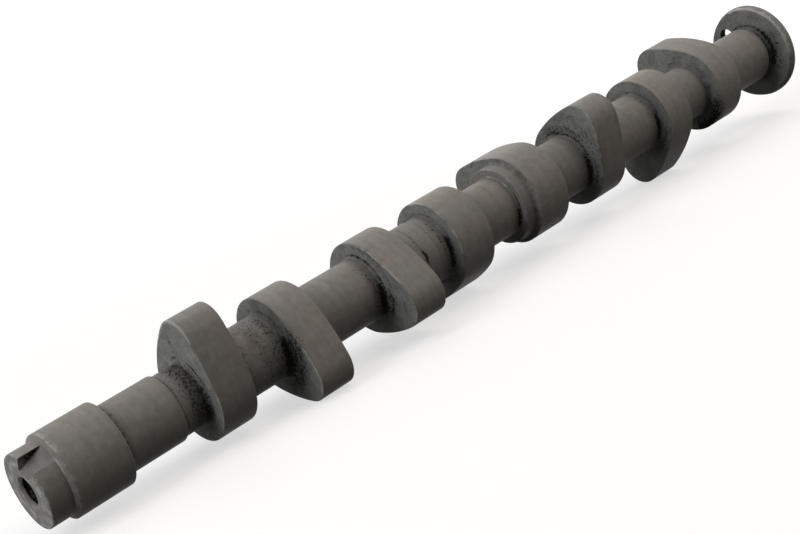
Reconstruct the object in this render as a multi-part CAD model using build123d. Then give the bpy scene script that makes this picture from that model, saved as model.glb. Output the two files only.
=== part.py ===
from build123d import *
import os
from math import atan2, cos, sin, sqrt

os.makedirs("parts", exist_ok=True)

# One-piece cast camshaft for a four-cylinder engine: eight lobes, five bearing journals.
# Millimetres. The origin is the centre of the nose face, on the shaft axis. The shaft runs along
# +X to the rear flange and +Z is up. It lies as it comes to rest on a flat surface, on the tips of
# lobes 2, 4 and 7, so its axis climbs a little from the nose to the flange.

# --- axial layout ---
bore_pitch = 88.0          # spacing of the cylinders, and so of the lobe pairs
lobe_a_start = 70.3        # nose-side face of the first lobe of cylinder 1
lobe_b_start = 108.9       # nose-side face of the second lobe of cylinder 1
lobe_width = 15.9          # width of a lobe along the shaft
mid_cheek = 2.0            # extra cast width of the two lobes beside the centre journal
cylinders = 4

# --- lobe profile and phasing ---
base_radius = 20.2         # base circle of every lobe
lift_a = 11.6              # lift of the first lobe of each pair
lift_b = 11.1              # lift of the second lobe of each pair
nose_radius = 10.5         # rounding of the lobe tip
flank_radius = 72.0        # convex flank arc that joins base circle and tip
lobe_separation = 110.0    # angle from the first to the second lobe of a pair
first_lobe_angle = 19.9    # tip of lobe 1 from straight up, turning about +X
firing_order = (1, 3, 4, 2)
rest_tilt = 1.68           # climb of the axis in degrees when the shaft lies on its lobes
lobe_edge = 0.3            # chamfer on the rims of a lobe

# --- nose ---
spigot_radius = 15.0       # pulley seat
spigot_length = 9.2
collar_radius = 17.0       # oil-seal collar
collar_end = 33.6
collar_chamfer = 1.1       # length along the shaft of the collar's front bevel
key_angle = 19.1           # slot centre after lobe 1, turning about +X
key_width = 9.0
key_floor = 7.7            # height of the slot floor over the axis at the nose face
key_floor_end = 14.3       # and where the climbing floor meets the collar
tap_drill_d = 10.5         # bore of the M12 pulley-bolt thread
tap_depth = 30.0
tap_mouth_d = 12.8         # countersink at the nose face
edge_break = 0.5

# --- journals and necks ---
journal_radius = 13.75
journal1_end = 59.0
journal5_length = 32.7     # from the last lobe to the end of journal 5
front_neck_radius = 12.8   # between journal 1 and lobe 1
pair_neck_radius = 14.0    # between the two lobes of cylinder 1
mid_neck_radius = 14.7     # between the two lobes of cylinder 2
third_neck_radius = 13.6   # of cylinder 3
rear_neck_radius = 12.8    # and of cylinder 4
ring_radius = 15.0         # short ring behind lobe 3
ring_length = 7.5
step_run = 7.2             # from the faint step on the neck to lobe 4
neck_step = 0.4            # drop in radius at that step
journal3_shoulder = 14.2   # cast shoulder between lobe 4 and journal 3
shoulder_length = 6.9
thrust_length = 6.3        # from the end of journal 3 to lobe 5
thrust_step = 2.6          # how far the thrust ring before lobe 5 stays under the base circle
thrust_root = 1.3          # fillet from the thrust ring up to lobe 5
thrust_lip = 0.8           # fillet at the foot of the thrust ring
root_fillet = 1.3          # cast fillet where a neck meets a lobe face

# --- rear flange ---
flange_radius = 23.5
flange_thickness = 4.3
flange_bevel_length = 2.2  # long bevel on the front rim, along the shaft
flange_bevel_depth = 0.85  # and how far it falls back from the rim
flange_edge = 0.6          # chamfer on the back rim
relief_radius = 11.0       # turned relief between journal 5 and the flange
relief_length = 3.7
hub_radius = 13.3          # foot of the relief on the flange face
flange_hole_d = 8.0
flange_hole_pcr = 15.3     # distance of the hole centre from the axis
flange_hole_angle = 292.6  # hole centre after lobe 1, turning about +X

thrust_radius = base_radius - thrust_step


def lobe_face(lift):
    """Cam profile in the YZ plane, tip towards +Z: base circle, two flank arcs and a tip arc,
    each tangent to the next."""
    tip_centre = base_radius + lift - nose_radius
    base_to_flank = flank_radius - base_radius
    tip_to_flank = flank_radius - nose_radius
    fz = (base_to_flank**2 - tip_to_flank**2 + tip_centre**2) / (2 * tip_centre)
    fy = sqrt(base_to_flank**2 - fz**2)
    half_dwell = atan2(fy, -fz)                       # from the tip direction to the base arc
    half_tip = atan2(fy, tip_centre - fz)             # end of the tip arc, seen from its centre
    mid_flank = (half_dwell + half_tip) / 2

    def on_base(a):
        return (base_radius * sin(a), base_radius * cos(a))

    def on_tip(a):
        return (nose_radius * sin(a), tip_centre + nose_radius * cos(a))

    def on_flank(a, side):
        return (side * (-fy + flank_radius * sin(a)), fz + flank_radius * cos(a))

    with BuildSketch(Plane.YZ) as profile:
        with BuildLine():
            ThreePointArc(on_tip(-half_tip), on_tip(0), on_tip(half_tip))
            ThreePointArc(on_tip(half_tip), on_flank(mid_flank, 1), on_base(half_dwell))
            ThreePointArc(on_base(half_dwell), (0, -base_radius), on_base(-half_dwell))
            ThreePointArc(on_base(-half_dwell), on_flank(mid_flank, -1), on_tip(-half_tip))
        make_face()
    return profile.sketch


def lobe(start, width, lift, angle):
    blank = extrude(lobe_face(lift), amount=width)
    rims = blank.faces().filter_by(Axis.X).edges()
    blank = chamfer(rims, lobe_edge)
    return Rot(X=angle) * (Pos(X=start) * blank)


# Lobe positions, cylinder by cylinder from the nose.
stations = []
for c in range(cylinders):
    turn = -360.0 / cylinders * firing_order.index(c + 1)
    a_start = lobe_a_start + bore_pitch * c
    b_start = lobe_b_start + bore_pitch * c
    a_width = b_width = lobe_width
    if c == 1:
        b_width += mid_cheek                          # thickens towards the centre journal
    if c == 2:
        a_start -= mid_cheek
        a_width += mid_cheek
    stations.append((a_start, a_width, lift_a, first_lobe_angle + turn))
    stations.append((b_start, b_width, lift_b, first_lobe_angle + lobe_separation + turn))

# Places along the shaft that follow from the lobes.
lobe_start = [start for start, _, _, _ in stations]
lobe_end = [start + width for start, width, _, _ in stations]
ring_end = lobe_end[2] + ring_length
step_x = lobe_start[3] - step_run
journal3_start = lobe_end[3] + shoulder_length
journal3_end = lobe_start[4] - thrust_length
journal5_end = lobe_end[7] + journal5_length
flange_start = journal5_end + relief_length

# Spine, as sections (end x, radius) from the nose backwards. Sections meet inside the lobes.
middle = [(start + end) / 2 for start, end in zip(lobe_start, lobe_end)]
sections = [
    (spigot_length, spigot_radius),
    (collar_end, collar_radius),
    (journal1_end, journal_radius),
    (middle[0], front_neck_radius),
    (middle[1], pair_neck_radius),
    (middle[2], journal_radius),
    (ring_end, ring_radius),
    (step_x, mid_neck_radius),
    (middle[3], mid_neck_radius - neck_step),
    (journal3_start, journal3_shoulder),
    (journal3_end, journal_radius),
    (middle[4], thrust_radius),
    (middle[5], third_neck_radius),
    (middle[6], journal_radius),
    (middle[7], rear_neck_radius),
    (journal5_end, journal_radius),
    (flange_start, relief_radius),
]
corners = [(0, 0)]
x = 0
for end, radius in sections:
    if corners[-1] != (x, radius):
        corners.append((x, radius))
    corners.append((end, radius))
    x = end
corners.append((x, 0))
with BuildSketch(Plane.XY) as half:
    with BuildLine():
        Polyline(*corners, close=True)
    make_face()
spine = revolve(half.sketch, Axis.X)


def turned(*points):
    """Ring swept round the shaft axis from a closed (x, r) outline."""
    with BuildSketch(Plane.XY) as ring:
        with BuildLine():
            Polyline(*points, close=True)
        make_face()
    return revolve(ring.sketch, Axis.X)


def root(face_x, radius, toward, size):
    """Concave fillet where the shaft of this radius meets a flat face, turned in three short
    slopes that touch the true arc. toward is the side of the face it lies on: -1 the nose side,
    +1 the flange side."""
    with BuildSketch(Plane.XY) as web:
        with Locations((face_x + toward * size / 2, radius + size / 2)):
            Rectangle(size, size)
        with Locations((face_x, radius)):
            Rectangle(2 * size, size / 2)
        with Locations((face_x + toward * size, radius + size)):
            RegularPolygon(size, 12, mode=Mode.SUBTRACT)
    return revolve(web.sketch, Axis.X)


def bevel(x, radius, toward, size):
    """Cutter that breaks an outer rim of the given radius at x."""
    return turned((x + toward * size, radius), (x, radius - size),
                  (x - toward * size, radius), (x, radius + size))


neck_before = [front_neck_radius, pair_neck_radius, journal_radius, mid_neck_radius - neck_step,
               thrust_radius, third_neck_radius, journal_radius, rear_neck_radius]
neck_after = [pair_neck_radius, journal_radius, ring_radius, journal3_shoulder,
              third_neck_radius, journal_radius, rear_neck_radius, journal_radius]
camshaft = spine
for (start, width, lift, angle), before, after in zip(stations, neck_before, neck_after):
    camshaft += lobe(start, width, lift, angle)
    camshaft += root(start, before, -1, thrust_root if before == thrust_radius else root_fillet)
    camshaft += root(start + width, after, 1, root_fillet)
camshaft += root(journal3_end, journal_radius, -1, thrust_lip)

# Rear flange with its foot.
disc = Pos(X=flange_start) * extrude(Plane.YZ * Circle(flange_radius), amount=flange_thickness)
disc = chamfer(disc.faces().sort_by(Axis.X)[-1].edges(), flange_edge)
disc -= turned((flange_start, flange_radius - flange_bevel_depth),
               (flange_start + flange_bevel_length, flange_radius),
               (flange_start, flange_radius + flange_edge))
camshaft += disc
camshaft += root(flange_start, relief_radius, -1, hub_radius - relief_radius)

# Bevels on the turned rims.
camshaft -= bevel(0, spigot_radius, 1, edge_break)
camshaft -= turned((spigot_length, spigot_radius), (spigot_length + collar_chamfer, collar_radius),
                   (spigot_length, collar_radius))
camshaft -= bevel(collar_end, collar_radius, -1, edge_break)
camshaft -= bevel(journal1_end, journal_radius, -1, edge_break)
camshaft -= bevel(journal3_end, thrust_radius, 1, edge_break)
camshaft -= bevel(journal5_end, journal_radius, -1, edge_break)

# Nose: key slot with a floor that climbs from the nose face to the collar, and the pulley-bolt hole.
climb = (key_floor_end - key_floor) / spigot_length
with BuildSketch(Plane.XZ) as wedge:
    with BuildLine():
        Polyline((-1, key_floor - climb), (spigot_length, key_floor_end),
                 (spigot_length, 2 * spigot_radius), (-1, 2 * spigot_radius), close=True)
    make_face()
slot = extrude(wedge.sketch, amount=key_width / 2, both=True)
camshaft -= Rot(X=first_lobe_angle + key_angle) * slot
tip = tap_drill_d / 2
camshaft -= turned((-1, 0), (-1, tip), (tap_depth, tip), (tap_depth + tip * 0.6, 0))
mouth = tap_mouth_d / 2
camshaft -= turned((-1, 0), (-1, mouth + 1), (0, mouth), (mouth, 0))

# Flange hole.
hole = Pos(flange_start + flange_thickness / 2, 0, flange_hole_pcr) * Rot(Y=90) * Cylinder(
    flange_hole_d / 2, flange_thickness + 4 * flange_edge)
camshaft -= Rot(X=first_lobe_angle + flange_hole_angle) * hole

# Lay the shaft down.
camshaft = Rot(Y=-rest_tilt) * camshaft

export_step(camshaft, "parts/camshaft.step")
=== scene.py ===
from math import atan2, cos, pi, radians, sin, sqrt

import bmesh
import bpy
import numpy as np
from mathutils import Matrix, Vector, kdtree, noise


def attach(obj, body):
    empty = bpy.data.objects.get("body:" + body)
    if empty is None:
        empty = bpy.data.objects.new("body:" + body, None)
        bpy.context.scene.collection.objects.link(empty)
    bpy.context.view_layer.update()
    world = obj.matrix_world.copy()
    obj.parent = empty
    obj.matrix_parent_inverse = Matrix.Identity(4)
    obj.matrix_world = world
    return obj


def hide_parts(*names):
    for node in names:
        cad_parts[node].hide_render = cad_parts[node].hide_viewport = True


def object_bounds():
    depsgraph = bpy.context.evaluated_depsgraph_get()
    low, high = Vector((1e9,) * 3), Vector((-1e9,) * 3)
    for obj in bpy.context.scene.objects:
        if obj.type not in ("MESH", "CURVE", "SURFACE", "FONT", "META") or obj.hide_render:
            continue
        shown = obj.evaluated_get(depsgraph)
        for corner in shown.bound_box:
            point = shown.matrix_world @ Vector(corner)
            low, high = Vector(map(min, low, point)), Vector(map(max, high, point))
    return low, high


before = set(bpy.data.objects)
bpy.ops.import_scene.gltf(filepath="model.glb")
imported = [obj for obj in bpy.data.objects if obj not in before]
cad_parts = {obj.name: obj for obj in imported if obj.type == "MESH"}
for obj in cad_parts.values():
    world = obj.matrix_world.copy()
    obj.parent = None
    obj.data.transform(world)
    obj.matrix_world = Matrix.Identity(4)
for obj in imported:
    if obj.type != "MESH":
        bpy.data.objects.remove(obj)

cad_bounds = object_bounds()

# ---------------------------------------------------------------- dimensions, millimetres
MM = 0.001
REST_TILT = radians(1.68)          # climb of the shaft axis from the floor
SEGMENTS = 144                     # points round the shaft

BORE_PITCH = 88.0
LOBE_A_START, LOBE_B_START = 70.3, 108.9
LOBE_WIDTH, MID_CHEEK = 15.9, 2.0
CYLINDERS, FIRING_ORDER = 4, (1, 3, 4, 2)
BASE_R, TIP_R, FLANK_R = 20.2, 10.5, 72.0
LIFT_A, LIFT_B = 11.6, 11.1
FIRST_LOBE, LOBE_SEPARATION = 19.9, 110.0
LOBE_EDGE = 0.3

SPIGOT_R, SPIGOT_END = 15.0, 9.2
COLLAR_R, COLLAR_END, COLLAR_BEVEL = 17.0, 33.6, 1.1
KEY_ANGLE, KEY_WIDTH = 19.1, 9.0
KEY_FLOOR, KEY_FLOOR_END = 7.7, 14.3
BORE_R, MOUTH_R, BORE_DEPTH = 5.25, 6.4, 30.0
THREAD_R, THREAD_PITCH = 5.95, 1.75
JOURNAL_R, JOURNAL1_END = 13.75, 59.0
JOURNAL3_START, JOURNAL3_END, JOURNAL5_END = 221.7, 238.0, 421.5
FRONT_NECK_R, PAIR_NECK_R, MID_NECK_R = 12.8, 14.0, 14.7
THIRD_NECK_R, REAR_NECK_R = 13.6, 12.8
RING_R, RING_END, STEP_X, NECK_STEP = 15.0, 181.7, 189.7, 0.4
SHOULDER_R = 14.2
THRUST_R, THRUST_ROOT, THRUST_LIP = 17.6, 1.3, 0.8
ROOT = 1.3
FLANGE_R, FLANGE_START, FLANGE_END, FLANGE_EDGE = 23.5, 425.2, 429.5, 0.6
BEVEL_LENGTH, BEVEL_DEPTH = 2.2, 0.85
RELIEF_R, HUB_R = 11.0, 13.3
HOLE_R, HOLE_PCR, HOLE_ANGLE = 4.0, 15.3, 292.6
EDGE_BREAK = 0.5
THREAD_START, THREAD_END = 27.0, 1.3       # deepest and outermost ring of the thread
THREAD_FADE_END, THREAD_FADE_IN, THREAD_FADE_OUT = 1.2, 0.8, 1.5
THREAD_RINGS = 6                           # rings in one turn of the thread
CAST_UNEVEN = 0.12                         # how far the cast skin dips in, about
DIP_SIZE, DIMPLE_SIZE = 6.0, 1.7           # grain of its broad dips and of its small ones
FADE = 0.35                                # marks fade out slower round the shaft than along it

# How the skin's rings are laid: the first and last one in a stretch lie END_RING from its ends, a
# stretch shorter than SHORT_RUN has none, and corner and edge fall off over these lengths.
END_RING, SHORT_RUN, RUN_CORNER = 0.35, 0.8, 1.4
FACE_EDGE, FACE_EDGE_REACH, FACE_CORNER_REACH = 0.7, 1.1, 1.3
SHARP_ANGLE = radians(38)
SAME_POINT = 1e-6                          # metres
# Cutter walls: how ground they are, corner darkening as dirt and painted shade, and their rims painted
# bright, wear and painted highlight, over a reach in millimetres.
CUT_GROUND, CUT_CORNER = 0.7, 0.2          # finish of the walls that the cutters leave
CUT_EDGE, CUT_EDGE_REACH = 0.7, 0.7
HOLE_SEGMENTS = 48
RING_LOBE, THRUST_LOBE = 3, 4              # counted from 0: the lobes behind the ring and the thrust ring

# Marks on the skin: place along the shaft, radius, from angle and to angle (degrees from the top,
# over the near side), reach, strength. First smooth black in corners, grooves and recesses: partly soot,
# partly painted shade, with painted shadow lines at steps and creases.
SOOT_AND_SHADE = (
    # Collar, bore and the end of journal 1, the bore painted dark inside as painted shade.
    (9.8, 16.2, 60, 96, 0.35, 1.1), (9.8, 16.2, -4, 30, 0.35, 1.0), (33.9, 13.9, -20, 112, 0.6, 0.7),
    (2.4, 5.2, -180, 180, 1.8, 1.0), *((x, 5.4, -180, 180, 3.5, 1.0) for x in (5, 10, 15, 20, 25, 30)),
    (59.2, 12.9, 10, 124, 0.5, 0.65),
    # Lobes 1 and 2, with lobe 1's shadow painted on lobe 2's face.
    (68.9, 13.7, 104, 128, 1.9, 1.0), (70.3, 15.0, -2, 70, 0.45, 0.95),
    (107.6, 14.3, 92, 136, 2.3, 1.0), (108.3, 14.9, 0, 84, 0.6, 1.0), (108.9, 16.6, 88, 116, 1.8, 0.8),
    (108.9, 20.0, 88, 106, 2.0, 0.4), (108.9, 19.0, 96, 138, 4.5, 0.62), (103.0, 14.0, 88, 124, 4.0, 0.4),
    # Lobe 3, the ring and the step behind it, lobe 4.
    (157.1, 14.1, 98, 130, 1.9, 1.0), (158.0, 14.9, -10, 90, 0.5, 1.0), (158.3, 17.6, 104, 124, 1.8, 0.75),
    (183.0, 14.7, 78, 88, 0.7, 1.0), (181.8, 14.8, -10, 74, 0.4, 0.6), (189.7, 14.5, -20, 110, 0.4, 0.4),
    (195.9, 14.7, 80, 120, 1.2, 1.0), (196.4, 15.3, -20, 76, 0.5, 1.0),
    # Thrust ring and lobe 5.
    (237.4, 14.1, 104, 128, 0.8, 0.95), (237.9, 14.6, 40, 112, 0.45, 0.75),
    (244.9, 18.8, -20, 125, 0.5, 0.7), (244.9, 23.5, -38, -35, 0.8, 0.7),
    # Lobe 6.
    (283.9, 14.2, 90, 130, 1.5, 1.0), (284.6, 14.7, -10, 84, 0.5, 1.0), (284.9, 15.8, -24, 10, 0.9, 0.65),
    (284.9, 17.0, 96, 134, 1.8, 0.5), (284.9, 21.0, -20, 90, 6.0, 0.34),
    # Lobe 7.
    (333.3, 14.2, 84, 130, 1.0, 1.0), (333.9, 14.7, -5, 80, 0.45, 1.0),
    (334.3, 17.0, 116, 150, 1.5, 0.4), (334.3, 20.0, -42, -38, 0.8, 0.6),
    # Lobe 8, with a painted shadow line along the crease on its face and painted shade on its lower face.
    (371.9, 14.0, 84, 136, 1.0, 1.0), (372.4, 14.7, -10, 80, 0.5, 0.9), (372.9, 19.0, 142, 175, 4.5, 0.8),
    (372.9, 15.4, -18, -15, 0.8, 0.45), (372.9, 16.3, -10, -7, 0.8, 0.4), (372.9, 17.4, -1, 5, 0.8, 0.4),
    (389.2, 13.9, 10, 116, 0.6, 1.0),
    # Relief and flange.
    (425.2, 16.8, 72, 108, 3.2, 0.42), (422.4, 11.5, 50, 124, 2.1, 1.0), (421.9, 12.6, -14, 50, 0.6, 0.9),
    (425.2, 14.1, 56, 114, 1.5, 1.0), (425.2, 14.3, -20, 50, 0.5, 0.7), (425.2, 19.5, -180, 180, 0.4, 0.3),
)
# Then black specks, thicker where the strength is higher.
SPECKS = (
    # Lobes 1 and 2.
    (65.6, 12.8, 16, 120, 4.2, 0.60), (68.6, 13.3, 6, 112, 2.0, 0.74),
    (70.3, 21.5, 6, 7, 0.6, 0.85), (70.3, 18.0, 2, 4, 0.6, 0.5), (70.3, 24.0, 0, 6, 2.0, 0.28),
    (90.0, 14.0, 40, 100, 3.4, 0.34), (99.0, 14.0, 30, 110, 4.6, 0.36), (104.5, 14.0, 30, 116, 2.8, 0.50),
    # Lobes 3 and 4, journal 3.
    (154.5, 13.8, 46, 134, 2.4, 0.48), (158.3, 19.0, 20, 112, 2.0, 0.42), (158.3, 25.0, 108, 113, 1.0, 0.75),
    (193.5, 14.3, 40, 116, 1.8, 0.46), (230.0, 13.75, 20, 40, 1.5, 0.3),
    # Lobes 6, 7 and 8.
    (284.9, 17.3, -18, 44, 2.2, 0.56), (284.9, 18.5, 70, 135, 2.4, 0.40),
    (331.5, 13.8, 30, 130, 1.6, 0.38), (334.3, 17.0, 96, 140, 1.6, 0.26), (372.9, 15.8, 20, 110, 0.8, 0.26),
    # Flange.
    (425.2, 14.8, -14, 50, 0.8, 0.28), (425.2, 17.0, 60, 112, 2.4, 0.30),
)
# Ridges, lips and the nose face painted bright, painted highlights where they catch the light, laid out as
# the marks above.
BRIGHT = (
    (0.0, 11.0, -180, 180, 4.5, 0.85), (69.5, 14.0, -14, 64, 0.55, 1.5), (107.8, 14.4, 4, 60, 0.4, 1.2),
    (9.2, 15.2, 20, 130, 0.35, 1.0), (10.5, 17.0, 0, 130, 0.35, 1.0), (237.7, 14.3, 0, 64, 0.45, 1.5),
    (371.9, 14.2, -10, 40, 0.4, 1.0), (284.0, 14.2, -20, 40, 0.4, 1.0), (333.2, 14.2, -20, 50, 0.35, 0.9),
)
# Places with a tint of rust.
RUSTY = ((94.0, 14.0, 30, 90, 6.0, 1.0), (63.0, 12.8, 60, 90, 3.0, 0.5), (152.0, 13.75, 30, 60, 3.0, 0.5),
         (350.0, 13.8, 20, 90, 8.0, 0.4))
# Rims rubbed bright, partly wear and partly painted highlight where they face the light: place along the
# shaft, from angle, to angle, strength.
RUBBED_AND_LIT = ((70.3, -8, 34, 1.5), (70.3, 92, 140, 1.4), (108.9, 96, 130, 1.3), (158.3, 30, 80, 1.1),
          (158.3, 116, 140, 1.0), (196.9, -2, 10, 2.0), (196.9, 40, 100, 0.9), (238.0, 0, 60, 0.6),
          (284.9, 40, 110, 0.9), (425.2, -10, 95, 1.6), (0.0, -180, 180, 0.8))
RUBBED_AND_LIT_LENGTH, RUBBED_AND_LIT_DEGREES = 2.5, 8


def lay_down(points):
    """Points on the level shaft, in millimetres, to the row frame in metres."""
    p = np.asarray(points, float) * MM
    c, s = cos(REST_TILT), sin(REST_TILT)
    return np.stack([p[..., 0] * c - p[..., 2] * s, p[..., 1], p[..., 0] * s + p[..., 2] * c], -1)


def stand_level(points):
    """The other way: row frame in metres to the level shaft, in millimetres."""
    p = np.asarray(points, float) / MM
    c, s = cos(REST_TILT), sin(REST_TILT)
    return np.stack([p[..., 0] * c + p[..., 2] * s, p[..., 1], p[..., 2] * c - p[..., 0] * s], -1)


# ---------------------------------------------------------------- the shaft's skin, ring by ring
TURN = np.arange(SEGMENTS) * 2 * pi / SEGMENTS     # angle about +X, from +Z
SKIN_LAYERS = ("ground", "edge", "corner", "travel")


def cam(lift, tip_angle, inset=0.0):
    """Radius of the lobe outline at every angle: base circle, flank arcs and tip arc."""
    tip_c = BASE_R + lift - TIP_R
    near, far = FLANK_R - BASE_R, FLANK_R - TIP_R
    fz = (near**2 - far**2 + tip_c**2) / (2 * tip_c)
    fy = sqrt(near**2 - fz**2)
    half_dwell = atan2(fy, -fz)
    half_tip = atan2(fy, tip_c - fz)
    tip_edge = atan2(TIP_R * sin(half_tip), tip_c + TIP_R * cos(half_tip))
    a = np.abs((TURN - tip_angle + pi) % (2 * pi) - pi)

    def from_axis(cy, cz, radius):
        along = cy * np.sin(a) + cz * np.cos(a)
        return along + np.sqrt(np.maximum(radius**2 - cy**2 - cz**2 + along**2, 0))

    tip = from_axis(0, tip_c, TIP_R - inset)
    flank = from_axis(-fy, fz, FLANK_R - inset)
    base = np.full(SEGMENTS, BASE_R - inset)
    return np.where(a < tip_edge, tip, np.where(a < half_dwell, flank, base))


class Skin:
    """Rings along the shaft. Each carries how ground, how near a rim and how near a corner it is."""

    def __init__(self):
        self.rings = []

    def ring(self, x, radius, ground=0.0, edge=0.0, corner=0.0):
        self.rings.append([np.broadcast_to(np.asarray(v, float), (SEGMENTS,))
                           for v in (x, radius, ground, edge, corner)])

    def run(self, x0, x1, radius, ground, step=4.0, corner=(0.0, 0.0)):
        """A plain stretch between two x, ends left out. corner is its value near each end."""
        length = x1 - x0
        if length < SHORT_RUN:
            return
        count = max(2, round(length / step))
        places = [END_RING, *(length * i / count for i in range(1, count)), length - END_RING]
        for p in places:
            near = max(corner[0] * np.exp(-p / RUN_CORNER), corner[1] * np.exp(-(length - p) / RUN_CORNER))
            self.ring(x0 + p, radius, ground, 0.0, near)

    def fillet(self, x_face, radius, size, toward, ground, corner=1.0, steps=4):
        """Concave fillet up to a face. toward -1 comes before the face, +1 after it."""
        turns = [i / steps * pi / 2 for i in range(steps + 1)]
        for t in turns if toward < 0 else reversed(turns):
            self.ring(x_face + toward * size * (1 - sin(t)), radius + size * (1 - cos(t)),
                      ground, 0.0, corner)

    def face(self, x, inner, outer, ground=0.0, rings=6, corner=1.0, rising=True):
        """Rings across a flat face between two outlines, ends left out."""
        steps = [i / (rings + 1) for i in range(1, rings + 1)]
        for f in steps if rising else reversed(steps):
            width = np.asarray(outer) - inner
            self.ring(x, inner + width * f, ground,
                      FACE_EDGE * np.exp(-width * (1 - f) / FACE_EDGE_REACH),
                      corner * np.exp(-width * f / FACE_CORNER_REACH))

    def rim(self, x_face, outline, size, toward, ground, steps=3):
        """Rounded outer rim. outline(inset) gives the radius; toward +1 goes on from the face."""
        turns = [i / steps * pi / 2 for i in range(steps + 1)]
        for t in turns if toward > 0 else reversed(turns):
            side = sin(t)
            # Front rims get the full edge value and rear rims less: painted highlight on the rims that face
            # the light.
            self.ring(x_face + toward * size * (1 - cos(t)), outline(size * (1 - side)),
                      ground * side, 1.0 if toward > 0 else 0.45)

    def mesh(self, name):
        co = [lay_down(np.stack([x, -np.sin(TURN) * r, np.cos(TURN) * r], -1))
              for x, r, *_ in self.rings]
        verts = np.concatenate(co)
        n, faces = len(self.rings), []
        for i in range(n - 1):
            a, b = i * SEGMENTS, (i + 1) * SEGMENTS
            for j in range(SEGMENTS):
                k = (j + 1) % SEGMENTS
                faces.append((a + j, a + k, b + k, b + j))
        last = (n - 1) * SEGMENTS
        faces.append(tuple(reversed(range(SEGMENTS))))
        faces.append(tuple(range(last, last + SEGMENTS)))
        me = bpy.data.meshes.new(name)
        me.from_pydata(verts.tolist(), [], faces)
        centre = np.array([(x.mean(), r.mean()) for x, r, *_ in self.rings])
        travel = np.concatenate([[0], np.cumsum(np.hypot(*np.diff(centre, axis=0).T))])
        columns = [np.concatenate([r[k] for r in self.rings]) for k in (2, 3, 4)]
        for key, column in zip(SKIN_LAYERS, (*columns, np.repeat(travel, SEGMENTS))):
            write_layer(me, key, column)
        return me



def circle(radius):
    return lambda inset: radius - inset


def lobes():
    """(start, end, outline) of every lobe, nose to flange."""
    out = []
    for c in range(CYLINDERS):
        turn = -360.0 / CYLINDERS * FIRING_ORDER.index(c + 1)
        a, b = LOBE_A_START + BORE_PITCH * c, LOBE_B_START + BORE_PITCH * c
        spans = ((a - (MID_CHEEK if c == 2 else 0), a + LOBE_WIDTH, LIFT_A, 0.0),
                 (b, b + LOBE_WIDTH + (MID_CHEEK if c == 1 else 0), LIFT_B, LOBE_SEPARATION))
        for start, end, lift, extra in spans:
            tip = radians(FIRST_LOBE + turn + extra)
            out.append((start, end, lambda inset, lift=lift, tip=tip: cam(lift, tip, inset)))
    return out


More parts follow.
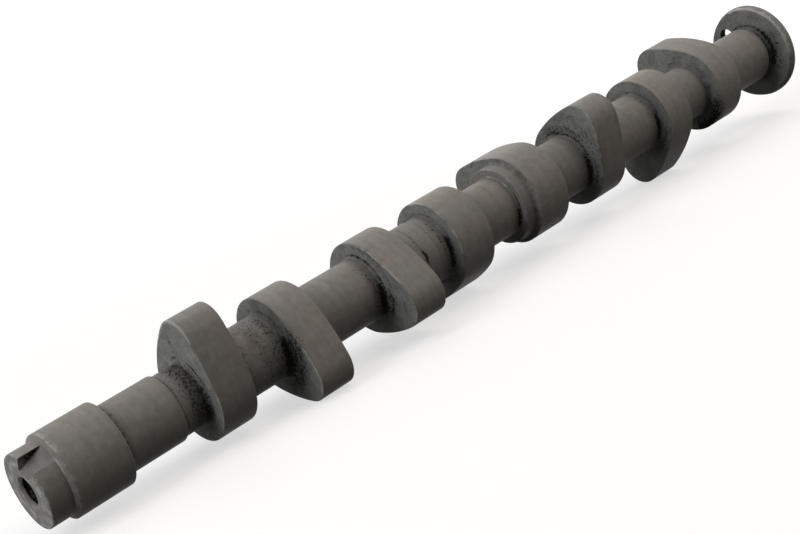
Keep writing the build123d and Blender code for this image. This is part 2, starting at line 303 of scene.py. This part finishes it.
def build_skin():
    s = Skin()
    # Blind bore, up to its mouth: drill point, tapped wall, countersink.
    s.ring(BORE_DEPTH + BORE_R * 0.6, 0.02)
    s.ring(BORE_DEPTH, BORE_R, corner=1.0)
    count = round((THREAD_START - THREAD_END) / THREAD_PITCH * THREAD_RINGS)
    for i in range(count + 1):
        x = THREAD_START - i * THREAD_PITCH / THREAD_RINGS
        phase = (x / THREAD_PITCH - TURN / (2 * pi)) % 1.0
        depth = (THREAD_R - BORE_R) * np.clip(1.25 - 2.5 * np.abs(phase - 0.5), 0, 1)
        fade = min(1.0, (x - THREAD_FADE_END) / THREAD_FADE_IN, (THREAD_START - x) / THREAD_FADE_OUT)
        s.ring(x, BORE_R + depth * max(fade, 0), ground=0.0, corner=0.75)
    s.ring(MOUTH_R - BORE_R, BORE_R + 0.02, ground=1.0, edge=0.4)
    s.ring(0.12, MOUTH_R - 0.12, ground=1.0, edge=0.8)
    s.ring(0.0, MOUTH_R, ground=1.0, edge=1.0)
    # Nose face, pulley seat, seal collar.
    s.face(0.0, MOUTH_R, SPIGOT_R - EDGE_BREAK, ground=0.45, rings=5, corner=0.0)
    s.rim(0.0, circle(SPIGOT_R), EDGE_BREAK, 1, 1.0)
    s.run(EDGE_BREAK, SPIGOT_END, SPIGOT_R, 1.0, 1.0, (0, 0.5))
    s.ring(SPIGOT_END - 0.05, SPIGOT_R, 1.0, 0.0, 0.9)
    s.ring(SPIGOT_END + 0.15, SPIGOT_R + 0.3, 1.0, 0.5, 0.1)
    s.ring(SPIGOT_END + COLLAR_BEVEL - 0.1, COLLAR_R - 0.15, 1.0, 0.7)
    s.ring(SPIGOT_END + COLLAR_BEVEL + 0.15, COLLAR_R, 1.0, 0.6)
    s.run(SPIGOT_END + COLLAR_BEVEL, COLLAR_END - EDGE_BREAK, COLLAR_R, 1.0)
    s.rim(COLLAR_END, circle(COLLAR_R), EDGE_BREAK, -1, 1.0)
    s.face(COLLAR_END, JOURNAL_R, COLLAR_R - EDGE_BREAK, 0.6, 2, 1.0, rising=False)
    s.ring(COLLAR_END, JOURNAL_R, 1.0, 0.0, 1.0)
    s.run(COLLAR_END, JOURNAL1_END - EDGE_BREAK, JOURNAL_R, 1.0, corner=(0.5, 0))
    s.rim(JOURNAL1_END, circle(JOURNAL_R), EDGE_BREAK, -1, 1.0)
    s.ring(JOURNAL1_END + 0.05, FRONT_NECK_R, 0.0, 0.0, 0.8)

    # Lobe after lobe. Before each comes a neck, with how ground it is, and after each a neck or ring.
    before = [(FRONT_NECK_R, 0.4), (PAIR_NECK_R, 0.5), (JOURNAL_R, 1), (MID_NECK_R - NECK_STEP, 0.7),
              (THRUST_R, 0.6), (THIRD_NECK_R, 0.75), (JOURNAL_R, 1), (REAR_NECK_R, 0.75)]
    after = [PAIR_NECK_R, JOURNAL_R, RING_R, SHOULDER_R, THIRD_NECK_R, JOURNAL_R, REAR_NECK_R, JOURNAL_R]
    x = JOURNAL1_END
    for i, (start, end, outline) in enumerate(lobes()):
        (r0, ground0), r1 = before[i], after[i]
        root = THRUST_ROOT if i == THRUST_LOBE else ROOT
        if i == RING_LOBE:  # ring, step and neck before lobe 4
            s.run(x, RING_END, RING_R, 0.7, 1.6, (1.0, 0))
            s.ring(RING_END, RING_R, 0.7, 0.4)
            s.ring(RING_END + 0.1, MID_NECK_R, 0.0, 0.0, 0.9)
            s.run(RING_END, STEP_X, MID_NECK_R, 0.7, 1.2, (0.6, 0))
            s.ring(STEP_X, MID_NECK_R, 0.7, 0.4)
            x = STEP_X
        if i == THRUST_LOBE:  # shoulder, centre journal, thrust ring
            s.run(x, JOURNAL3_START, SHOULDER_R, 0.6, 1.6, (1.0, 0.3))
            s.ring(JOURNAL3_START, SHOULDER_R, 0.6, 0.3)
            s.ring(JOURNAL3_START + 0.2, JOURNAL_R, 1.0, 0.0, 0.5)
            s.run(JOURNAL3_START, JOURNAL3_END - THRUST_LIP, JOURNAL_R, 1.0, corner=(0.2, 0.4))
            s.fillet(JOURNAL3_END, JOURNAL_R, THRUST_LIP, -1, 1.0, 0.5)
            s.face(JOURNAL3_END, JOURNAL_R + THRUST_LIP, THRUST_R - EDGE_BREAK, 0.7, 2, 0.2)
            s.rim(JOURNAL3_END, circle(THRUST_R), EDGE_BREAK, 1, 0.8)
            x = JOURNAL3_END + EDGE_BREAK
        s.run(x, start - root, r0, ground0, 1.3 if ground0 < 1 else 2.0, (1.0, 1.0))
        s.fillet(start, r0, root, -1, 0.3)
        s.face(start, r0 + root, outline(LOBE_EDGE), rings=11)
        s.rim(start, outline, LOBE_EDGE, 1, 1.0)
        s.run(start + LOBE_EDGE, end - LOBE_EDGE, outline(0), 1.0, 3.0)
        s.rim(end, outline, LOBE_EDGE, -1, 1.0)
        s.face(end, r1 + ROOT, outline(LOBE_EDGE), rising=False)
        s.fillet(end, r1, ROOT, 1, 0.3)
        x = end + ROOT
    # Last journal, relief and flange.
    s.run(x, JOURNAL5_END - EDGE_BREAK, JOURNAL_R, 1.0, corner=(1.0, 0.3))
    s.rim(JOURNAL5_END, circle(JOURNAL_R), EDGE_BREAK, -1, 1.0)
    s.face(JOURNAL5_END, RELIEF_R, JOURNAL_R - EDGE_BREAK, 0.2, 2, 1.0, rising=False)
    foot = HUB_R - RELIEF_R
    s.ring(JOURNAL5_END, RELIEF_R, 0.0, 0.0, 1.0)
    s.run(JOURNAL5_END, FLANGE_START - foot, RELIEF_R, 0.0, 0.7, (1.0, 1.0))
    s.fillet(FLANGE_START, RELIEF_R, foot, -1, 0.0)
    s.face(FLANGE_START, HUB_R, FLANGE_R - BEVEL_DEPTH, 0.1, 9)
    s.ring(FLANGE_START, FLANGE_R - BEVEL_DEPTH, 0.1, 0.9)
    s.ring(FLANGE_START + BEVEL_LENGTH / 2, FLANGE_R - BEVEL_DEPTH / 2, 0.2, 0.7)
    s.ring(FLANGE_START + BEVEL_LENGTH, FLANGE_R, 0.3, 0.5)
    s.rim(FLANGE_END, circle(FLANGE_R), FLANGE_EDGE, -1, 0.1)
    for f in (0.8, 0.6, 0.4, 0.2, 0.05):
        s.ring(FLANGE_END, (FLANGE_R - FLANGE_EDGE) * f, 0.4)
    return s.mesh("camshaft_iron")


def add_object(name, data):
    obj = bpy.data.objects.new(name, data)
    bpy.context.scene.collection.objects.link(obj)
    return obj


def cutter(name, build):
    bm = bmesh.new()
    build(bm)
    bmesh.ops.recalc_face_normals(bm, faces=bm.faces)
    me = bpy.data.meshes.new(name)
    bm.to_mesh(me)
    bm.free()
    return add_object(name, me)


def at_angle(angle):
    """Matrix that carries a cutter drawn on the level shaft, up along +Z, to an angle."""
    lay = Matrix.Rotation(-REST_TILT, 4, "Y")
    return lay @ Matrix.Rotation(radians(angle), 4, "X") @ Matrix.Scale(MM, 4)


def close_tube(bm, rows, angle):
    """Faces from row to row and over both ends, then the whole turned to its angle."""
    for a, b in zip(rows, rows[1:]):
        for j in range(len(a)):
            k = (j + 1) % len(a)
            bm.faces.new((a[j], b[j], b[k], a[k]))
    bm.faces.new(rows[0])
    bm.faces.new(rows[-1])
    bm.transform(at_angle(angle))


def key_slot(bm):
    """Wedge between the climbing slot floor and well outside the seat, in short slices."""
    climb = (KEY_FLOOR_END - KEY_FLOOR) / SPIGOT_END
    slices, columns, steps = 14, 10, 8
    x0, x1, top = -0.6, SPIGOT_END, SPIGOT_R + 3    # out past the nose and the seat
    rows = []
    for i in range(slices + 1):
        x = x0 + (x1 - x0) * i / slices
        floor = KEY_FLOOR + climb * x
        ys = [KEY_WIDTH * (j / columns - 0.5) for j in range(columns + 1)]
        loop = [(y, floor) for y in ys]
        loop += [(ys[-1], floor + (top - floor) * j / steps) for j in range(1, steps + 1)]
        loop += [(y, top) for y in reversed(ys[:-1])]
        loop += [(ys[0], top + (floor - top) * j / steps) for j in range(1, steps)]
        rows.append([bm.verts.new((x, y, z)) for y, z in loop])
    close_tube(bm, rows, FIRST_LOBE + KEY_ANGLE)


def flange_hole(bm):
    """Round cutter through the flange, in slices."""
    rows, slices = [], 8
    x0, x1 = JOURNAL5_END + 1, FLANGE_END + 1
    for i in range(slices + 1):
        x = x0 + (x1 - x0) * i / slices
        turns = [2 * pi * j / HOLE_SEGMENTS for j in range(HOLE_SEGMENTS)]
        rows.append([bm.verts.new((x, HOLE_R * sin(t), HOLE_PCR + HOLE_R * cos(t))) for t in turns])
    close_tube(bm, rows, FIRST_LOBE + HOLE_ANGLE)


def read_layer(me, key):
    values = np.zeros(len(me.vertices), np.float32)
    me.attributes[key].data.foreach_get("value", values)
    return values


def write_layer(me, key, values):
    if key in me.attributes:
        me.attributes.remove(me.attributes[key])
    layer = me.attributes.new(key, "FLOAT", "POINT")
    layer.data.foreach_set("value", np.asarray(values, np.float32))


def tree_of(points):
    tree = kdtree.KDTree(len(points))
    for i, p in enumerate(points):
        tree.insert(p, i)
    tree.balance()
    return tree


def polar(points):
    """Place along the shaft, radius and angle in degrees of points in the row frame."""
    p = stand_level(points)
    return p[:, 0], np.hypot(p[:, 1], p[:, 2]), np.degrees(np.arctan2(-p[:, 1], p[:, 2]))


def marks_at(points, marks):
    """How strongly a list of marks lies on each point: the strongest one counts."""
    x, r, angle = polar(points)
    total = np.zeros(len(x))
    for x0, r0, a0, a1, reach, strength in marks:
        off = FADE * r * np.radians(np.clip(angle, a0, a1) - angle)
        distance2 = (x - x0)**2 + (r - r0)**2 + off**2
        total = np.maximum(total, strength * np.exp(-distance2 / reach**2))
    return total


def rubbed_and_lit_at(points):
    """Factor on the rims' brightness, wear and painted highlight: half everywhere, more on the listed rims.
    """
    x, _, angle = polar(points)
    total = np.full(len(x), 0.5)
    for x0, a0, a1, strength in RUBBED_AND_LIT:
        past = np.abs(np.clip(angle, a0, a1) - angle)
        spread = ((x - x0) / RUBBED_AND_LIT_LENGTH)**2 + (past / RUBBED_AND_LIT_DEGREES)**2
        total = np.maximum(total, strength * np.exp(-spread))
    return total


def uneven(me, ground):
    """The cast skin dips in a little, here and there. Ground surfaces and rims stay true."""
    normals = np.zeros(len(me.vertices) * 3, np.float32)
    me.vertex_normals.foreach_get("vector", normals)
    for v, n, g in zip(me.vertices, normals.reshape(-1, 3), ground):
        if g < 0.5:
            p = v.co / MM
            dip = 0.5 + 0.5 * noise.noise(p / DIP_SIZE) + 0.25 * noise.noise(p / DIMPLE_SIZE)
            dip = max(dip, 0.0) * CAST_UNEVEN * (1 - 2 * g)
            v.co -= Vector(n.tolist()) * dip * MM


def cut_away(obj, cut):
    """Take a cutter out of the object's mesh, then delete the cutter."""
    mod = obj.modifiers.new("cut", "BOOLEAN")
    mod.operation, mod.solver, mod.object = "DIFFERENCE", "MANIFOLD", cut
    bpy.context.view_layer.update()
    graph = bpy.context.evaluated_depsgraph_get()
    cut_mesh = bpy.data.meshes.new_from_object(obj.evaluated_get(graph))
    obj.modifiers.clear()
    obj.data = cut_mesh
    bpy.data.objects.remove(cut)


def lay_marks(values, points, walls):
    """Add rubbed rims, painted highlights on ridges, soot with painted shade, specks and rust to the layers.
    walls are those of the slot and hole.
    """
    bright, soot_and_shade = marks_at(points, BRIGHT), marks_at(points, SOOT_AND_SHADE)
    values["edge"] = np.maximum(values["edge"], bright)
    x, radius, angle = polar(points)
    across = radius * np.sin(np.radians(angle - FIRST_LOBE - KEY_ANGLE))
    far_wall = across < 0.01 - KEY_WIDTH / 2
    # The hole's wall and the slot's far wall are painted black, painted shade inside the recesses.
    soot_and_shade[walls & ((x > COLLAR_END) | far_wall)] = 1.0
    clean = np.clip(1 - bright, 0, 1)
    values |= {"soot_and_shade": soot_and_shade * clean, "specks": marks_at(points, SPECKS) * clean,
               "rusty": marks_at(points, RUSTY)}


def build_camshaft():
    source = build_skin()
    layers = {k: read_layer(source, k) for k in SKIN_LAYERS}
    uneven(source, np.maximum(layers["ground"], layers["edge"]))
    skin_tree = tree_of([v.co.copy() for v in source.vertices])
    obj = add_object("camshaft_iron", source)
    cut_points = []
    for cut in (cutter("slot_cutter", key_slot), cutter("hole_cutter", flange_hole)):
        cut_points += [v.co.copy() for v in cut.data.vertices]
        cut_away(obj, cut)
    me = obj.data

    # Points of the skin keep its layers. The rest lie on the cutters' walls or on the rims between.
    cut_tree = tree_of(cut_points)
    points = [v.co.copy() for v in me.vertices]
    skin = [skin_tree.find(p) for p in points]
    off_skin = np.array([found[2] > SAME_POINT for found in skin])
    off_cut = np.array([cut_tree.find(p)[2] > SAME_POINT for p in points])
    rims = tree_of([p for p, a, b in zip(points, off_skin, off_cut) if a and b])
    from_rim = np.array([rims.find(p)[2] for p in points]) / MM
    values = {k: v[[found[1] for found in skin]] for k, v in layers.items()}
    values["ground"][off_skin], values["corner"][off_skin] = CUT_GROUND, CUT_CORNER
    # Rim brightness is wear and painted highlight: the rims' edge value times the listed rims' factor, and
    # the cuts' rims painted bright near the cut.
    values["edge"] = np.maximum(values["edge"] * rubbed_and_lit_at(points), CUT_EDGE - from_rim / CUT_EDGE_REACH)
    lay_marks(values, points, off_skin & ~off_cut)
    for key, v in values.items():
        write_layer(me, key, v)
    me.polygons.foreach_set("use_smooth", [True] * len(me.polygons))
    me.set_sharp_from_angle(angle=SHARP_ANGLE)
    return obj


# ---------------------------------------------------------------- iron
GROUND_WARM, GROUND_COOL = (0.250, 0.229, 0.207, 1), (0.232, 0.224, 0.210, 1)
CAST_PALE, CAST_DARK = (0.270, 0.273, 0.258, 1), (0.205, 0.207, 0.195, 1)
WORN_AND_LIT, BLACK, RUST = (0.42, 0.41, 0.39, 1), (0.010, 0.009, 0.008, 1), (0.215, 0.158, 0.128, 1)
# Grain sizes, millimetres.
BLOTCH_SIZE, PATCH_SIZE, MOTTLE_SIZE, FINE_SIZE = 16, 3.2, 5, 0.5
LINE_SIZE, WIDE_LINE_SIZE, SPECK_SIZE, PIT_SIZE = 0.35, 3.0, 0.95, 1.1
SPECULAR, BUMP_STRENGTH, BUMP_DEPTH = 0.07, 0.6, 0.12


class Shader:
    """Short calls for one material's nodes."""

    def __init__(self, name):
        self.material = bpy.data.materials.new(name)
        self.material.use_nodes = True
        self.tree = self.material.node_tree
        self.surface = self.tree.nodes["Principled BSDF"]

    def node(self, kind, **settings):
        made = self.tree.nodes.new("ShaderNode" + kind)
        for key, value in settings.items():
            setattr(made, key, value)
        return made

    def put(self, socket, value):
        if isinstance(value, bpy.types.NodeSocket):
            self.tree.links.new(value, socket)
        else:
            socket.default_value = value

    def layer(self, name):
        return self.node("Attribute", attribute_name=name).outputs["Fac"]

    def shaft_mm(self):
        """Millimetres along and across the level shaft."""
        turn = self.node("Mapping")
        self.put(turn.inputs["Vector"], self.node("TexCoord").outputs["Object"])
        turn.inputs["Rotation"].default_value = (0, REST_TILT, 0)
        turn.inputs["Scale"].default_value = (1 / MM,) * 3
        return turn.outputs["Vector"]

    def noise(self, where, size, detail=2.0, rough=0.5):
        """Noise with grains of a size in millimetres; on a single number it makes lines."""
        one = where.type == "VALUE"
        made = self.node("TexNoise", noise_dimensions="1D" if one else "3D")
        self.put(made.inputs["W" if one else "Vector"], where)
        made.inputs["Scale"].default_value = 1 / size
        made.inputs["Detail"].default_value = detail
        made.inputs["Roughness"].default_value = rough
        return made.outputs["Fac"]

    def span(self, value, low, high, to_low=0.0, to_high=1.0):
        made = self.node("MapRange", interpolation_type="SMOOTHSTEP")
        for key, v in (("Value", value), ("From Min", low), ("From Max", high),
                       ("To Min", to_low), ("To Max", to_high)):
            self.put(made.inputs[key], v)
        return made.outputs["Result"]

    def math(self, operation, a, b):
        made = self.node("Math", operation=operation)
        self.put(made.inputs[0], a)
        self.put(made.inputs[1], b)
        return made.outputs[0]

    def mix(self, factor, a, b):
        made = self.node("Mix", data_type="RGBA")
        for i, v in ((0, factor), (6, a), (7, b)):
            self.put(made.inputs[i], v)
        return made.outputs[2]

    def blend(self, factor, a, b):
        made = self.node("Mix", data_type="FLOAT")
        for i, v in ((0, factor), (2, a), (3, b)):
            self.put(made.inputs[i], v)
        return made.outputs[0]

    def shade(self, colour, *tones):
        """Colour times each tone in turn."""
        for tone in tones:
            made = self.node("VectorMath", operation="SCALE")
            self.put(made.inputs[0], colour)
            self.put(made.inputs["Scale"], tone)
            colour = made.outputs[0]
        return colour


def iron_material():
    m = Shader("camshaft_iron")
    mm, travel = m.shaft_mm(), m.layer("travel")
    ground, edge, corner, soot_and_shade, specks, rusty = (
        m.layer(k) for k in ("ground", "edge", "corner", "soot_and_shade", "specks", "rusty"))
    blotch, patch = m.noise(mm, BLOTCH_SIZE, 3), m.noise(mm, PATCH_SIZE, 3)
    mottle, fine = m.noise(mm, MOTTLE_SIZE, 4, 0.6), m.noise(mm, FINE_SIZE, 2)
    lines, wide_lines = m.noise(travel, LINE_SIZE, 2), m.noise(travel, WIDE_LINE_SIZE, 2)
    speck, pits = m.noise(mm, SPECK_SIZE, 3, 0.6), m.noise(mm, PIT_SIZE, 1)

    # Bare iron: machined, or cast with pits, and a tint of rust in places.
    machined = m.shade(m.mix(m.span(blotch, 0.36, 0.64), GROUND_WARM, GROUND_COOL),
                       m.span(patch, 0.25, 0.75, 0.90, 1.10), m.span(lines, 0.2, 0.8, 0.95, 1.05),
                       m.span(wide_lines, 0.25, 0.75, 0.95, 1.05), m.span(fine, 0.3, 0.7, 0.96, 1.04))
    pitted = m.span(pits, 0.66, 0.72)
    cast = m.shade(m.mix(m.span(mottle, 0.38, 0.66), CAST_PALE, CAST_DARK),
                   m.span(fine, 0.25, 0.75, 0.80, 1.16), m.span(speck, 0.25, 0.75, 0.84, 1.12),
                   m.math("SUBTRACT", 1.0, m.math("MULTIPLY", pitted, 0.45)))
    colour = m.mix(ground, cast, machined)
    stain = m.math("MULTIPLY", m.span(mottle, 0.42, 0.62), m.span(rusty, 0.0, 1.0, 0.03, 0.42))
    colour = m.mix(stain, colour, RUST)

    # Dirt and painted shade in the corners; rims worn and painted bright, wear and painted highlight.
    dirt_and_shade = m.math("MULTIPLY", corner, m.span(patch, 0.3, 0.7, 0.05, 0.38))
    colour = m.shade(colour, m.math("SUBTRACT", 1.0, dirt_and_shade))
    broken = m.math("ADD", edge, m.math("ADD", m.span(patch, 0.3, 0.7, -0.35, 0.25),
                                        m.span(fine, 0.3, 0.7, -0.15, 0.15)))
    wear_and_highlight = m.span(broken, 0.62, 1.05, 0.0, 0.8)
    colour = m.mix(wear_and_highlight, colour, WORN_AND_LIT)

    # Specks, and black soot with painted shade that breaks up into them at its edge over a thin grey film of
    # the same.
    rest = m.span(speck, 0.32, 0.68)
    over = m.math("SUBTRACT", m.math("SUBTRACT", specks, m.math("MULTIPLY", rest, 0.9)), 0.07)
    dots = m.math("MULTIPLY", m.span(over, -0.04, 0.24), m.span(specks, 0.0, 0.7, 0.55, 1.0))
    ragged = m.math("ADD", m.math("ADD", soot_and_shade, m.span(rest, 0.0, 1.0, 0.16, -0.22)),
                    m.span(patch, 0.25, 0.75, -0.10, 0.06))
    soot_and_shade_film = m.math("MULTIPLY", m.span(soot_and_shade, 0.0, 1.0), 0.6)
    spots = m.math("MAXIMUM", m.math("MULTIPLY", dots, 0.85), m.span(ragged, 0.22, 0.72, 0.0, 0.97))
    haze_and_shade = m.math("MAXIMUM", soot_and_shade_film, m.span(specks, 0.1, 0.9, 0.0, 0.6))
    black = m.math("MAXIMUM", spots, haze_and_shade)
    colour = m.mix(black, colour, BLACK)

    surface = m.surface.inputs
    m.put(surface["Base Color"], colour)
    rough = m.blend(ground, m.span(fine, 0.3, 0.7, 0.64, 0.76), m.span(patch, 0.3, 0.7, 0.48, 0.58))
    rough = m.blend(black, m.blend(wear_and_highlight, rough, 0.36), 0.85)
    m.put(surface["Roughness"], rough)
    surface["Metallic"].default_value = 0.0
    surface["Specular IOR Level"].default_value = SPECULAR
    height = m.blend(ground, m.math("ADD", m.span(fine, 0.2, 0.8), m.math("SUBTRACT", speck, pitted)),
                     m.math("ADD", m.math("MULTIPLY", lines, 0.35), m.math("MULTIPLY", fine, 0.12)))
    bump = m.node("Bump")
    bump.inputs["Strength"].default_value = BUMP_STRENGTH
    bump.inputs["Distance"].default_value = BUMP_DEPTH * MM
    m.put(bump.inputs["Height"], height)
    m.put(surface["Normal"], bump.outputs["Normal"])
    return m.material


camshaft = build_camshaft()
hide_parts("camshaft")
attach(camshaft, "root")
camshaft.data.materials.clear()
camshaft.data.materials.append(iron_material())

# ---------------------------------------------------------------- floor, lights, camera
FLOOR_Z = cad_bounds[0][2]
FLOOR_HALF = 20.0                          # metres
FLOOR_PALE, FLOOR_DULL = (0.45, 0.45, 0.45, 1), (0.03, 0.03, 0.03, 1)   # as seen, and for other rays
GLOW_NEAR, GLOW_FAR = (0.3, 0.62), (1.2, 1.0)       # distance from the middle, emission strength
WORLD_UNSEEN, WORLD_SEEN = 0.01, 1.0
LIGHT_REACH, LIGHT_SIZE = 1.5, 0.9
AIM = Vector((0.2, 0, 0))
# Lamps: azimuth from +X, elevation, power, colour. Most powers are from a least-squares fit of the
# render's brightness to the photo's, some of them raised afterwards. The last lamp is not from the fit.
WHITE, WARM = (1, 1, 1), (1, 0.93, 0.85)
LIGHTS = ((0, 90, 2.8, WHITE), (0, 50, 1.5, WARM), (60, 50, 4.5, WHITE), (180, 50, 3.9, WHITE),
          (300, 50, 5.7, WARM), (0, 15, 2.9, WHITE), (45, 15, 2.3, WHITE), (135, 15, 2.3, WHITE),
          (180, 15, 4.2, WHITE), (180, 32, 2.7, WHITE), (210, 32, 0.6, WHITE), (330, 32, 1.4, WARM),
          (300, 15, 0.9, WARM))
# The camera, solved from the outlines in the photo.
LENS, SENSOR = 65.74, 36.0
CLIP_NEAR, CLIP_FAR = 0.01, 50
CAMERA_AT = Vector((-0.15206, -0.48394, 0.14147))
CAMERA_RIGHT, CAMERA_UP = Vector((0.72757, -0.59431, -0.34270)), Vector((0.41033, -0.02334, 0.91164))


def seen_directly(tree):
    """1 for camera, glossy and transmission rays, 0 for the rest."""
    path = tree.nodes.new("ShaderNodeLightPath")
    value = path.outputs["Is Camera Ray"]
    for key in ("Is Glossy Ray", "Is Transmission Ray"):
        either = tree.nodes.new("ShaderNodeMath")
        either.operation = "MAXIMUM"
        tree.links.new(value, either.inputs[0])
        tree.links.new(path.outputs[key], either.inputs[1])
        value = either.outputs[0]
    return value


def build_floor():
    bm = bmesh.new()
    bmesh.ops.create_grid(bm, x_segments=1, y_segments=1, size=FLOOR_HALF)
    bmesh.ops.translate(bm, verts=bm.verts, vec=(0, 0, FLOOR_Z))
    me = bpy.data.meshes.new("floor")
    bm.to_mesh(me)
    bm.free()
    floor = add_object("floor", me)
    mat = bpy.data.materials.new("floor_white")
    mat.use_nodes = True
    tree = mat.node_tree
    nodes, link = tree.nodes, tree.links.new
    pale, glow, dull = (nodes.new("ShaderNode" + k) for k in ("BsdfDiffuse", "Emission", "BsdfDiffuse"))
    pale.inputs["Color"].default_value = FLOOR_PALE
    dull.inputs["Color"].default_value = FLOOR_DULL
    # White all over: lit and glowing a little near the object, where its shadow falls, and glowing in
    # full further off.
    far = nodes.new("ShaderNodeVectorMath")
    far.operation = "DISTANCE"
    far.inputs[1].default_value = (AIM.x, 0, FLOOR_Z)
    link(nodes.new("ShaderNodeTexCoord").outputs["Object"], far.inputs[0])
    reach = nodes.new("ShaderNodeMapRange")
    for key, value in zip(("From Min", "To Min", "From Max", "To Max"), (*GLOW_NEAR, *GLOW_FAR)):
        reach.inputs[key].default_value = value
    link(far.outputs["Value"], reach.inputs["Value"])
    link(reach.outputs["Result"], glow.inputs["Strength"])
    white, pick = nodes.new("ShaderNodeAddShader"), nodes.new("ShaderNodeMixShader")
    link(pale.outputs[0], white.inputs[0])
    link(glow.outputs[0], white.inputs[1])
    link(seen_directly(tree), pick.inputs[0])
    link(dull.outputs[0], pick.inputs[1])
    link(white.outputs[0], pick.inputs[2])
    link(pick.outputs[0], nodes["Material Output"].inputs["Surface"])
    me.materials.append(mat)


def build_lights():
    for azimuth, elevation, power, colour in LIGHTS:
        a, e = radians(azimuth), radians(elevation)
        light = bpy.data.lights.new(f"lamp_{azimuth}_{elevation}", "AREA")
        light.shape, light.size, light.energy = "DISK", LIGHT_SIZE, power
        light.color = colour
        obj = add_object(light.name, light)
        obj.location = AIM + LIGHT_REACH * Vector((cos(e) * cos(a), cos(e) * sin(a), sin(e)))
        obj.rotation_euler = (AIM - obj.location).to_track_quat("-Z", "Y").to_euler()


def build_world():
    world = bpy.data.worlds.new("world")
    bpy.context.scene.world = world
    world.use_nodes = True
    tree = world.node_tree
    seen = seen_directly(tree)
    strength = tree.nodes.new("ShaderNodeMapRange")
    tree.links.new(seen, strength.inputs["Value"])
    strength.inputs["To Min"].default_value = WORLD_UNSEEN
    strength.inputs["To Max"].default_value = WORLD_SEEN
    back = tree.nodes["Background"]
    back.inputs["Color"].default_value = (1, 1, 1, 1)
    tree.links.new(strength.outputs["Result"], back.inputs["Strength"])


def build_camera():
    cam_data = bpy.data.cameras.new("camera")
    cam_data.sensor_width, cam_data.lens = SENSOR, LENS
    cam_data.clip_start, cam_data.clip_end = CLIP_NEAR, CLIP_FAR
    obj = add_object("camera", cam_data)
    back = CAMERA_RIGHT.cross(CAMERA_UP)
    stand = Matrix((CAMERA_RIGHT, CAMERA_UP, back)).transposed().to_4x4()
    stand.translation = CAMERA_AT
    obj.matrix_world = stand
    bpy.context.scene.camera = obj


build_floor()
build_lights()
build_world()
build_camera()
bpy.context.scene.view_settings.view_transform = "Standard"
